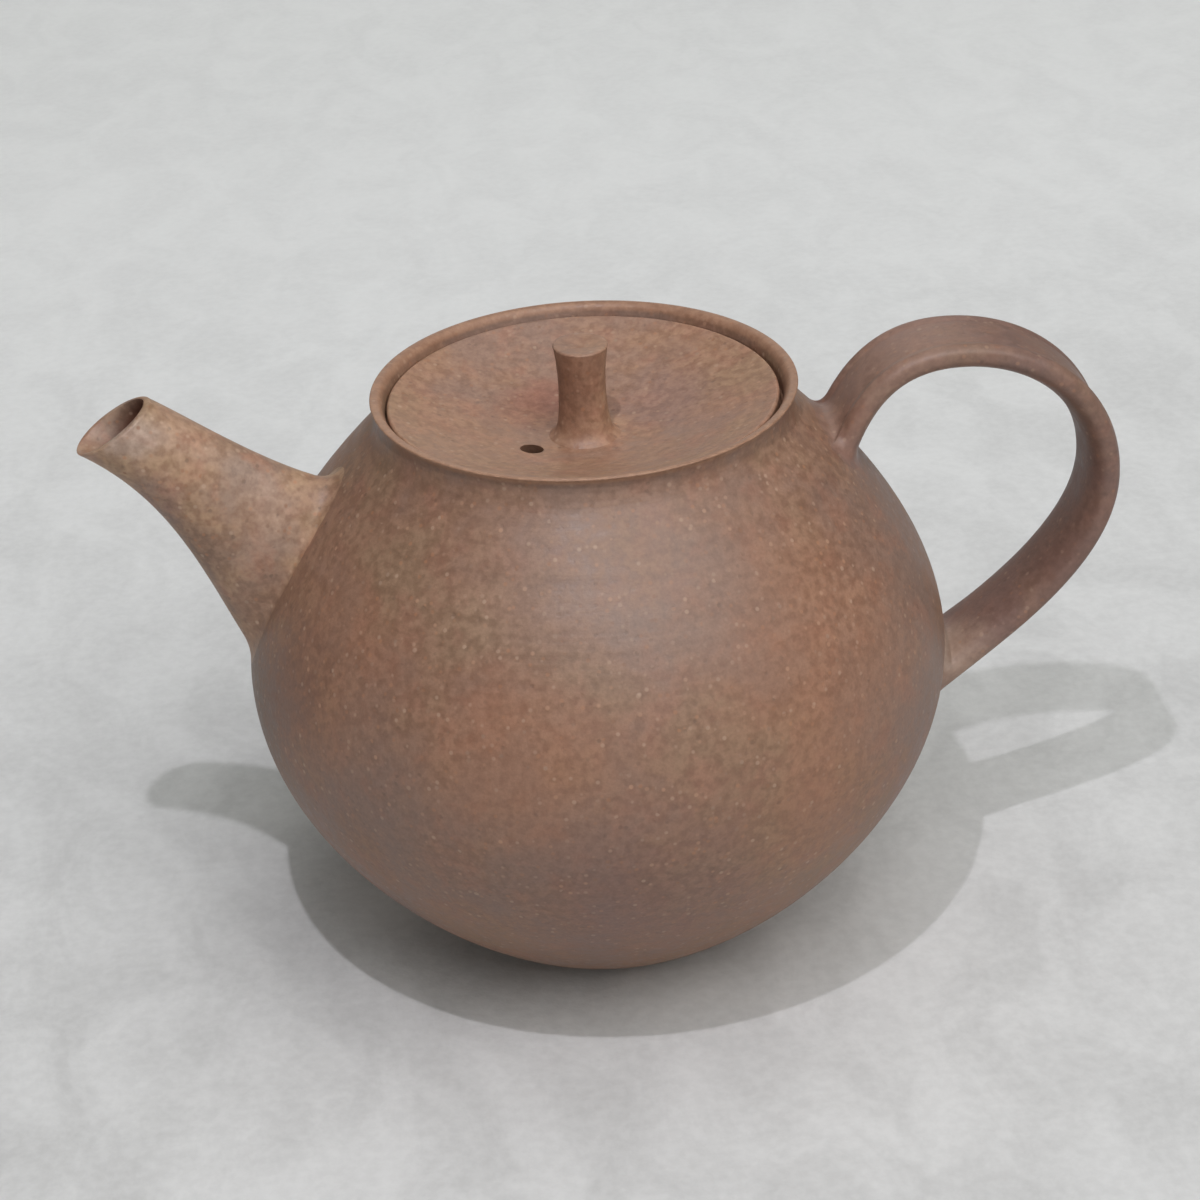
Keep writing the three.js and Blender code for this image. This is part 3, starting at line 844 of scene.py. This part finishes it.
def strap_line():
    """The middle of the strap in the XZ plane, from inside the shoulder to inside the belly."""
    top = on_wall(STRAP_TOP_ROOT_Z)
    low = on_wall(STRAP_LOW_ROOT_Z)
    crest = np.array([top[0] + STRAP_CREST_OUT, RIM_Z + STRAP_CREST_UP])
    back = np.array([BELLY_R + STRAP_REACH, BELLY_Z + STRAP_BACK_UP])
    rise, pull = np.array(STRAP_TOP_RISE), np.array(STRAP_LOW_PULL)
    crest_in, crest_out = crest - [STRAP_CREST_PULLS[0], 0], crest + [STRAP_CREST_PULLS[1], 0]
    back_up, back_down = back + [0, STRAP_BACK_PULLS[0]], back - [0, STRAP_BACK_PULLS[1]]
    return np.vstack([
        bezier([top - unit(rise) * STRAP_SINK, top], STRAP_SINK_STEPS),
        bezier([top, top + rise, crest_in, crest], STRAP_STEPS)[1:],
        bezier([crest, crest_out, back_up, back], STRAP_STEPS)[1:],
        bezier([back, back_down, low + pull, low], STRAP_STEPS)[1:],
        bezier([low, low - unit(pull) * STRAP_SINK], STRAP_SINK_STEPS)[1:],
    ])


def strap_section(half_w, half_t):
    """A pulled strap's section, as (across, out): soft corners and a hollow between two beads."""
    turn = full_turn(STRAP_SIDES) + math.pi / STRAP_SIDES
    cos, sin = np.cos(turn), np.sin(turn)
    outer = sin > 0
    power_w = np.where(outer, STRAP_OUTER_POWERS[0], STRAP_INNER_POWERS[0])
    power_t = np.where(outer, STRAP_OUTER_POWERS[1], STRAP_INNER_POWERS[1])
    across = np.sign(cos) * np.abs(cos) ** power_w
    out = half_t * np.sign(sin) * np.abs(sin) ** power_t
    inward = ramp(np.abs(across), *STRAP_HOLLOW)
    hollow = STRAP_GROOVE * inward ** 2 * (3 - 2 * inward) * (1 - STRAP_HOLLOW_ROUND * across ** 2)
    return half_w * across, np.where(outer, out - hollow, out * STRAP_BELLY)


def strap_rings():
    line = strap_line()
    along = np.gradient(line, axis=0)
    along /= np.linalg.norm(along, axis=1, keepdims=True)
    at = lengths(line)
    rings = []
    for point, way, here in zip(line, along, at):
        from_wall = min(here, at[-1] - here) - STRAP_SINK
        flare = min(max(1 - from_wall / STRAP_FLARE, 0), 1) ** 2
        half_w = (STRAP_W + (STRAP_ROOT_W - STRAP_W) * flare) / 2
        half_t = (STRAP_T + (STRAP_ROOT_T - STRAP_T) * flare) / 2
        across, out = strap_section(half_w, half_t)
        rings.append(np.stack([point[0] - way[1] * out, across, point[1] + way[0] * out], -1))
    return np.array(rings)


def strap_top_join(share):
    """How wide the smoothed clay at the top is: wider on the outer side."""
    outer = max(0.0, math.sin(2 * math.pi * share))
    return STRAP_TOP_JOIN + STRAP_TOP_JOIN_SIDE * outer ** 2


def strap_low_join(share):
    """How wide the smoothed clay at the foot is: wider towards -Y and on the inner side."""
    side = max(0.0, -math.cos(2 * math.pi * share))
    inner = max(0.0, -math.sin(2 * math.pi * share))
    return STRAP_LOW_JOIN + STRAP_LOW_JOIN_SIDE * side ** 2 + STRAP_LOW_JOIN_INNER * inner ** 6


def make_strap():
    rings = strap_rings()
    middle = len(rings) // 2
    to_top = luted(rings[:middle + 1][::-1], strap_top_join, STRAP_TOP_JOIN_STEPS)
    to_low = luted(rings[middle:], strap_low_join, STRAP_LOW_JOIN_STEPS)
    rows = [*to_top[::-1], *to_low[1:]]
    rows = [[rows[0].mean(0)], *rows, [rows[-1].mean(0)]]
    return crisp(skin("strap_handle_clay", rows))


# Lid

def dish(from_r, from_z, to_r, to_z, count):
    share = np.linspace(0, 1, count)
    return np.stack([from_r + (to_r - from_r) * share, from_z + (to_z - from_z) * share ** DISH_POWER], -1)


def plate_profile():
    edge_r = LID_R - LID_EDGE_ROUND
    edge_z = LID_TOP_Z - LID_EDGE_ROUND
    edge = rounded((edge_r, edge_z), LID_EDGE_ROUND, LID_EDGE_ARC_DEG, LID_EDGE_STEPS)
    top = dish(DISH_FLAT_R, DISH_Z, edge_r, LID_TOP_Z, DISH_STEPS)
    under = dish(DISH_FLAT_R, UNDER_Z, FLANGE_INNER_R - UNDER_GAP, STEP_Z, UNDER_STEPS)
    step = [(FLANGE_R, STEP_Z), (FLANGE_R, SEAT_Z - STEP_CORNER), (FLANGE_R + STEP_CORNER, SEAT_Z)]
    low_edge = [(LID_R - LID_LOW_EASE, SEAT_Z), (LID_R, SEAT_Z + LID_LOW_EASE)]
    rows = [(r, UNDER_Z) for r in UNDER_RINGS]
    rows += [*under, *step, *low_edge, *edge, *top[::-1][1:]]
    rows += [(r, DISH_Z) for r in DISH_RINGS]
    return rows


def turning(radius, height, turn):
    """Faint turning marks on the dish's slope and on the corner under the lid's edge."""
    wave = 2 * math.pi * radius / DISH_MARK_PITCH + turn + np.sin(radius / DISH_MARK_WANDER)
    marks = DISH_MARK * (0.5 + 0.5 * np.sin(wave))
    marked = (height > STEP_Z + DISH_MARK_UP) & (radius < LID_R - DISH_MARK_EDGE)
    return radius, np.where(marked, height - marks, height)


def steam_drill():
    half_l, half_w = STEAM_HOLE_HALF_L, STEAM_HOLE_HALF_W
    drill = oval_bar("drill", half_l, half_w, -DRILL_HALF_L, DRILL_HALF_L, STEAM_HOLE_SIDES)
    drill.data.transform(Matrix.Rotation(STEAM_HOLE_LEAN, 4, "X"))
    drill.data.transform(Matrix.Translation(Vector((*STEAM_HOLE_AT, DISH_Z)) * MM))
    return drill


def make_plate():
    plate = turned("lid_plate_clay", plate_profile(), LID_SIDES, turning)
    return crisp(carve(plate, steam_drill()))


def make_flange():
    half = (FLANGE_R - FLANGE_INNER_R) / 2
    foot_z = STEP_Z - FLANGE_H + half
    foot = rounded((FLANGE_INNER_R + half, foot_z), half, FLANGE_FOOT_ARC_DEG, FLANGE_FOOT_STEPS)
    side = np.linspace(STEP_Z - FLANGE_TOP_GAP, foot_z + FLANGE_LOW_GAP, FLANGE_STEPS)
    rows = [(FLANGE_INNER_R, STEP_Z)]
    rows += [(FLANGE_INNER_R, z) for z in side]
    rows += [*foot]
    rows += [(FLANGE_R, z) for z in side[::-1]]
    rows += [(FLANGE_R, STEP_Z)]
    return crisp(turned("lid_flange_clay", rows, FLANGE_SIDES))


def knob_profile():
    foot_z = DISH_Z + KNOB_FOOT_H
    top_z = DISH_Z + KNOB_H
    waist_z = DISH_Z + KNOB_WAIST_UP
    under_z = DISH_Z - KNOB_SINK
    swell = (KNOB_TOP_R - KNOB_WAIST_R) / (top_z - waist_z) ** 2
    stem_z = np.linspace(foot_z + KNOB_STEM_UP, top_z - KNOB_TOP_GAP, KNOB_STEPS)
    stem = [(KNOB_WAIST_R + swell * (z - waist_z) ** 2, z) for z in stem_z]
    foot = bezier([
        (KNOB_FOOT_R, under_z),
        (KNOB_FOOT_R - KNOB_FOOT_PULL[0], DISH_Z + KNOB_FOOT_PULL[1]),
        (stem[0][0] + KNOB_STEM_PULL[0], foot_z - KNOB_STEM_PULL[1]),
        stem[0],
    ], KNOB_FOOT_STEPS)
    edge_middle = (KNOB_TOP_R - KNOB_EDGE, top_z - KNOB_EDGE)
    edge = rounded(edge_middle, KNOB_EDGE_ROUND, KNOB_EDGE_ARC_DEG, KNOB_EDGE_STEPS)
    bowl = bezier([
        edge[-1],
        (KNOB_TOP_R * KNOB_BOWL_SHARES[0], top_z - KNOB_BOWL_EDGE),
        (KNOB_TOP_R * KNOB_BOWL_SHARES[1], top_z - KNOB_BOWL),
        (0, top_z - KNOB_BOWL),
    ], KNOB_BOWL_STEPS)
    return [(0, under_z), (KNOB_RING_R, under_z), *foot, *stem[1:], *edge, *bowl[1:]]


def by_hand(radius, height, turn):
    """The knob a little out of round and leaning at its top."""
    two, three = KNOB_WOBBLES
    wobble = two * np.cos(2 * turn + KNOB_WOBBLE_TURN) + three * np.cos(3 * turn + height / KNOB_TWIST)
    rise = ramp(height, DISH_Z, DISH_Z + KNOB_WORN_H)
    waist_z = DISH_Z + KNOB_WAIST_UP
    tip = KNOB_TIP * (1 - np.cos(turn - KNOB_TIP_TURN)) * ramp(height, waist_z, waist_z + KNOB_TIP_H)
    return radius - (KNOB_WORN + wobble) * rise, height - tip


def make_knob():
    return crisp(turned("lid_knob_clay", knob_profile(), KNOB_SIDES, by_hand))


pot = make_pot()
spout = make_spout()
strainer = make_strainer()
strap = make_strap()
plate = make_plate()
flange = make_flange()
knob = make_knob()

# The lid sits a little to the back and left in the mouth
for piece in (plate, flange, knob):
    piece.data.transform(Matrix.Translation(Vector((*LID_REST, 0)) * MM))


# Materials

class Shading:
    """A small builder for one procedural material."""

    def __init__(self, name):
        self.material = bpy.data.materials.new(name)
        self.material.use_nodes = True
        self.tree = self.material.node_tree
        self.tree.nodes.clear()
        self.at = self.add("ShaderNodeTexCoord").outputs["Object"]
        self.place = self.add("ShaderNodeSeparateXYZ", {"Vector": self.at}).outputs

    def fill(self, socket, value):
        """Link the value, if it comes from a node, or set it."""
        if isinstance(value, bpy.types.NodeSocket):
            self.tree.links.new(value, socket)
        elif socket.type == "RGBA":
            socket.default_value = (*value, 1.0)
        else:
            socket.default_value = value

    def add(self, kind, values=None, **settings):
        made = self.tree.nodes.new(kind)
        for key, value in settings.items():
            setattr(made, key, value)
        for key, value in (values or {}).items():
            self.fill(made.inputs[key], value)
        return made

    def noise(self, at, scale, detail, rough, distortion=0.0):
        made = self.add("ShaderNodeTexNoise", {
            "Vector": at, "Scale": scale, "Detail": detail, "Roughness": rough, "Distortion": distortion,
        })
        return made.outputs["Fac"]

    def span(self, value, between, to_low=0.0, to_high=1.0):
        """to_low before the first value of between, to_high past the second, and eased in between."""
        made = self.add("ShaderNodeMapRange", {
            "Value": value, "From Min": between[0], "From Max": between[1],
            "To Min": to_low, "To Max": to_high,
        }, interpolation_type="SMOOTHSTEP")
        return made.outputs["Result"]

    def math(self, how, a, b):
        return self.add("ShaderNodeMath", {0: a, 1: b}, operation=how).outputs[0]

    def plus(self, a, b):
        return self.math("ADD", a, b)

    def times(self, a, b):
        return self.math("MULTIPLY", a, b)

    def vector(self, how, a, *b):
        """A vector node's vector result."""
        values = dict(enumerate((a, *b)))
        return self.add("ShaderNodeVectorMath", values, operation=how).outputs["Vector"]

    def measure(self, how, a, *b):
        """A vector node's plain number."""
        values = dict(enumerate((a, *b)))
        return self.add("ShaderNodeVectorMath", values, operation=how).outputs["Value"]

    def mix(self, amount, a, b, how="MIX"):
        """Two colours mixed. A mix node's colours are its inputs 6 and 7 and its output 2."""
        made = self.add("ShaderNodeMix", data_type="RGBA", blend_type=how)
        for index, value in ((0, amount), (6, a), (7, b)):
            self.fill(made.inputs[index], value)
        return made.outputs[2]

    def tint(self, amount, colour, value, between, depth):
        """The colour made darker and lighter by a value."""
        dark, light = [0.5 - depth] * 3, [0.5 + depth] * 3
        shade = self.mix(self.span(value, between), dark, light)
        return self.mix(amount, colour, shade, "SOFT_LIGHT")

    def grains(self, scale, full, gone, rare, grit):
        """Round grains, one in some of the cells: three kinds, each as a mask."""
        cells = self.add("ShaderNodeTexVoronoi", {"Vector": self.at, "Scale": scale, "Randomness": 1.0})
        pick = self.add("ShaderNodeSeparateColor", {"Color": cells.outputs["Color"]}).outputs
        away = self.plus(cells.outputs["Distance"], self.times(grit, GRAIN_RAGGED))
        spot = self.span(away, (full, gone), 1.0, 0.0)
        kinds = ("Red", "Green", "Blue")
        return [self.times(spot, self.span(pick[kind], (rare, GRAIN_SURE))) for kind in kinds]

    def finish(self, values):
        """The material with its shader's values set."""
        shader = self.add("ShaderNodeBsdfPrincipled", values)
        self.add("ShaderNodeOutputMaterial", {"Surface": shader.outputs["BSDF"]})
        return self.material


def flashing_and_painted_light(clay, tones, patches, broad, cloud):
    """Areas of different browns from the kiln that run into each other, and patches, some of which are
    painted shade and painted highlights.
    """
    brown, red, olive, grey = tones
    hue = clay.noise(clay.at, *HUE)
    drift = clay.plus(broad, clay.times(clay.math("SUBTRACT", cloud, 0.5), CLOUD_IN_DRIFT))
    colour = clay.mix(clay.span(drift, BROWN_BETWEEN), grey, brown)
    colour = clay.mix(clay.span(drift, OLIVE_BETWEEN, 0.0, OLIVE_MOST), colour, olive)
    colour = clay.mix(clay.span(hue, RED_BETWEEN, 0.0, RED_MOST), colour, red)
    ragged = clay.times(cloud, PATCH_RAGGED_M)
    half_m = PATCH_RAGGED_M / 2
    for middle, radius, strength, shade in patches:
        away = clay.measure("DISTANCE", clay.at, [value * MM for value in middle])
        between = (radius * MM * PATCH_CORE + half_m, radius * MM + half_m)
        inside = clay.span(clay.plus(away, ragged), between, strength, 0.0)
        colour = clay.mix(inside, colour, shade)
    return colour


def painted_bore_shade(clay, colour):
    """Painted shade down the spout's bore, darkening the clay as seen from its mouth."""
    way = (math.cos(SPOUT_AXIS_TILT), 0.0, -math.sin(SPOUT_AXIS_TILT))
    mouth_m = (SPOUT_MOUTH[0] * MM, 0.0, SPOUT_MOUTH[1] * MM)
    starts, ends, side = (np.array(pair) * MM for pair in (BORE_STARTS, BORE_ENDS, BORE_SIDE))
    from_mouth = clay.vector("SUBTRACT", clay.at, mouth_m)
    along = clay.measure("DOT_PRODUCT", from_mouth, way)
    off = clay.measure("LENGTH", clay.vector("CROSS_PRODUCT", from_mouth, way))
    deep = clay.times(clay.span(along, starts), clay.span(along, ends, 1.0, 0.0))
    deep = clay.times(deep, clay.span(off, side, BORE_SHADE_AMOUNT, 0.0))
    return clay.mix(deep, colour, BORE_SHADE_COLOUR)


def coarse(clay, colour, speckle, broad, cloud, clumps, grit):
    """Soft clumps, fine grit, and pale, rusty and dark grains in two sizes, with their relief in metres."""
    gather = clay.plus(cloud, clay.times(broad, BROAD_IN_GATHER))
    gather = clay.span(gather, GATHER_BETWEEN, GATHER_LEAST, 1.0)
    colour = clay.tint(gather, colour, clumps, CLUMP_BETWEEN, CLUMP_TINT * speckle)
    colour = clay.tint(min(1.0, GRIT_AMOUNT * speckle), colour, grit, GRIT_BETWEEN, GRIT_TINT)
    pale, rust, dark = clay.grains(*SMALL_GRAINS, grit)
    dot = clay.grains(*LARGE_GRAINS, grit)[0]
    colour = clay.mix(clay.times(clay.times(pale, gather), PALE_AMOUNT * speckle), colour, PALE_GRAIN)
    colour = clay.mix(clay.times(clay.times(rust, gather), RUST_AMOUNT * speckle), colour, RUST_GRAIN)
    colour = clay.mix(clay.times(dark, DARK_AMOUNT * speckle), colour, DARK_GRAIN)
    colour = clay.mix(clay.times(dot, DOT_AMOUNT * speckle), colour, PALE_GRAIN)
    relief = clay.times(clay.math("SUBTRACT", grit, 0.5), GRIT_RELIEF_M)
    for value, depth_m in (
        (clumps, CLUMP_RELIEF_M),
        (dark, DARK_RELIEF_M),
        (pale, PALE_RELIEF_M),
        (dot, DOT_RELIEF_M),
    ):
        relief = clay.plus(relief, clay.times(value, depth_m))
    return colour, relief


def turned_lines(clay, lines, rings):
    """Fine lines left by turning, round a wall or, with rings, across a lid, and how strong they are."""
    if rings:
        flat = clay.add("ShaderNodeCombineXYZ", {"X": clay.place["X"], "Y": clay.place["Y"], "Z": 0.0})
        across = clay.measure("LENGTH", flat.outputs[0])
        where = 1.0
    else:
        across = clay.place["Z"]
        where = clay.span(across, LINES_FADE_M, LINE_LEAST, 1.0)
    at = clay.add("ShaderNodeCombineXYZ", {
        "X": clay.times(clay.place["X"], LINE_SIDEWAYS),
        "Y": clay.times(clay.place["Y"], LINE_SIDEWAYS),
        "Z": clay.times(across, LINE_UPWARD),
    }).outputs[0]
    return clay.noise(at, *BAND), clay.times(where, lines)


def stoneware(name, tones, patches, lines=0.0, speckle=1.0, rings=False, rim=None, bore=False):
    clay = Shading(name)
    broad = clay.noise(clay.at, *BROAD)
    cloud = clay.noise(clay.at, *CLOUD)
    clumps = clay.noise(clay.at, *CLUMPS)
    grit = clay.noise(clay.at, *GRIT)
    colour = flashing_and_painted_light(clay, tones, patches, broad, cloud)
    # painted shade inside the spout's bore
    if bore:
        colour = painted_bore_shade(clay, colour)
    if rim:
        colour = clay.mix(clay.span(clay.place["Z"], RIM_FADE_M), colour, rim)
    colour, relief = coarse(clay, colour, speckle, broad, cloud, clumps, grit)
    band, lined = turned_lines(clay, lines, rings)
    colour = clay.tint(clay.times(lined, LINE_AMOUNT), colour, band, LINE_BETWEEN, LINE_TINT)
    relief = clay.plus(relief, clay.times(clay.times(band, lined), LINE_RELIEF_M))
    bump = clay.add("ShaderNodeBump", {"Height": relief, "Distance": 1.0, "Strength": 1.0})
    rough = clay.plus(clumps, clay.times(cloud, CLOUD_IN_ROUGH))
    return clay.finish({
        "Base Color": colour,
        "Roughness": clay.span(rough, ROUGH_BETWEEN, *ROUGHNESS),
        "Specular IOR Level": SPECULAR,
        "Normal": bump.outputs["Normal"],
    })


body_clay = stoneware("body_stoneware", BODY_TONES, BODY_PATCHES, lines=1.0, rim=LID_TONES[0])
spout_clay = stoneware("spout_stoneware", SPOUT_TONES, SPOUT_PATCHES, speckle=1.5, bore=True)
handle_clay = stoneware("handle_stoneware", STRAP_TONES, STRAP_PATCHES, speckle=0.8)
inner_clay = stoneware("inner_stoneware", STRAP_TONES, [], speckle=0.8)
lid_clay = stoneware("lid_stoneware", LID_TONES, LID_PATCHES, lines=0.5, speckle=1.2, rings=True)

for obj, material, body, slot, node in (
    (pot, body_clay, "pot", "body_stoneware", "pot_body"),
    (spout, spout_clay, "pot", "spout_stoneware", "spout"),
    (strainer, inner_clay, "pot", "inner_stoneware", "spout_strainer"),
    (strap, handle_clay, "pot", "handle_stoneware", "strap_handle"),
    (plate, lid_clay, "lid", "lid_stoneware", "lid_plate"),
    (flange, lid_clay, "lid", "lid_stoneware", "lid_flange"),
    (knob, lid_clay, "lid", "lid_stoneware", "lid_knob"),
):
    obj.data.materials.clear()
    obj.data.materials.append(material)
    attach(obj, body)
    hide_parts(node)


# Paper ground

def paper():
    sheet = Shading("paper")
    stretched = sheet.vector("MULTIPLY", sheet.at, PAPER_STRETCH)
    broad = sheet.noise(sheet.at, *PAPER_BROAD)
    cloud = sheet.noise(stretched, *PAPER_CLOUD)
    fibre = sheet.noise(sheet.at, *PAPER_FIBRE)
    # painted shade: darker paper towards the front, evening out the near lamp
    colour = sheet.mix(sheet.span(sheet.place["Y"], PAPER_FADE_M), PAPER_NEAR, PAPER_FAR)
    for value, (amount, between, depth) in zip((broad, cloud, fibre), PAPER_TINTS):
        colour = sheet.tint(amount, colour, value, between, depth)
    bump = sheet.add("ShaderNodeBump", {
        "Height": fibre, "Distance": PAPER_RELIEF_M, "Strength": PAPER_RELIEF_SHARE,
    })
    return sheet.finish({
        "Base Color": colour,
        "Roughness": PAPER_ROUGHNESS,
        "Specular IOR Level": PAPER_SPECULAR,
        "Normal": bump.outputs["Normal"],
    })


def make_ground():
    corners = [(-1, -1, 0), (1, -1, 0), (1, 1, 0), (-1, 1, 0)]
    ground = add_mesh("ground", np.array(corners) * GROUND_HALF, [(0, 1, 2, 3)])
    ground.data.materials.append(paper())
    return ground


ground = make_ground()


# Light

def area_light(name, place_m, target_m, size_m, power_w, colour):
    data = bpy.data.lights.new(name, "AREA")
    data.shape = "DISK"
    data.size = size_m
    data.energy = power_w
    data.color = colour
    obj = bpy.data.objects.new(name, data)
    obj.location = place_m
    way = Vector(target_m) - Vector(place_m)
    obj.rotation_euler = way.to_track_quat("-Z", "Y").to_euler()
    bpy.context.scene.collection.objects.link(obj)


def far_light(name, turn_deg, rise_deg, distance_m, spread_deg, strength, colour):
    """A soft round light. Its strength is the light it brings at the origin, in W per square metre."""
    turn, rise = math.radians(turn_deg), math.radians(rise_deg)
    way = Vector((math.cos(rise) * math.cos(turn), math.cos(rise) * math.sin(turn), math.sin(rise)))
    size_m = 2 * distance_m * math.tan(math.radians(spread_deg / 2))
    power_w = strength * math.pi * distance_m ** 2
    area_light(name, way * distance_m, FAR_TARGET_M, size_m, power_w, colour)


def fill_air():
    world = bpy.data.worlds.new("studio")
    world.use_nodes = True
    air = world.node_tree.nodes["Background"]
    air.inputs["Color"].default_value = (*AIR_COLOUR, 1)
    air.inputs["Strength"].default_value = AIR_STRENGTH
    bpy.context.scene.world = world


area_light("window", LAMP_AT_M, LAMP_TARGET_M, LAMP_SIZE_M, LAMP_WATTS, LAMP_COLOUR)
for light in FAR_LIGHTS:
    far_light(*light)
fill_air()


# Camera

def place_camera():
    lens = bpy.data.cameras.new("camera")
    lens.sensor_width = SENSOR_W
    lens.lens = LENS
    lens.clip_end = CLIP_END_M
    camera = bpy.data.objects.new("camera", lens)
    right = Vector(CAMERA_RIGHT).normalized()
    back = Vector(CAMERA_BACK).normalized()
    up = back.cross(right).normalized()
    turn = Matrix((right, up, back)).transposed().to_4x4()
    camera.matrix_world = Matrix.Translation(CAMERA_AT_M) @ turn
    bpy.context.scene.collection.objects.link(camera)
    bpy.context.scene.camera = camera


place_camera()
bpy.context.scene.view_settings.view_transform = "Standard"
